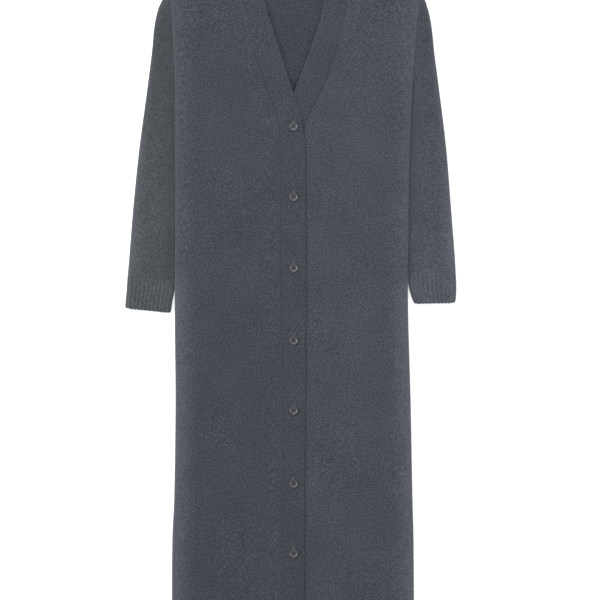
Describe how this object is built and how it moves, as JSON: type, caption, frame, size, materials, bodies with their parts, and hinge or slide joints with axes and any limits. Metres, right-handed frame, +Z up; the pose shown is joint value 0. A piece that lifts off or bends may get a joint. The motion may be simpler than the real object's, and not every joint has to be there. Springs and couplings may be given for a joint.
{
  "type": "duster cardigan",
  "caption": "Ankle-length V-neck knitted cardigan, buttoned up the front and laid flat, with long sleeves, ribbed cuffs and a plain front band",
  "frame": {"origin": "centre of the garment's box, on the surface that it lies on", "axes": "+Z up from the surface through the cloth, +Y from the hem to the neck, +X towards the wearer's left side"},
  "size_m": [0.6184, 1.283, 0.0136],
  "materials": {
    "wool_knit": "fine jersey knit in charcoal blue-grey marl wool, soft and slightly hairy",
    "wool_band": "firm fine knit band in the same marl wool, linked to the fronts",
    "wool_rib": "ribbed knit in the same marl wool",
    "button_horn": "turned grey horn-like button with a raised rim and a satin polish"
  },
  "bodies": {
    "root": {"back": "wool_knit", "front_right": "wool_knit", "front_left": "wool_knit", "band_top": "wool_band", "band_under": "wool_band", "sleeve_right": "wool_knit", "sleeve_left": "wool_knit", "cuff_right": "wool_rib", "cuff_left": "wool_rib", "button_1": "button_horn", "button_2": "button_horn", "button_3": "button_horn", "button_4": "button_horn", "button_5": "button_horn", "button_6": "button_horn", "button_7": "button_horn"}
  },
  "joints": []
}
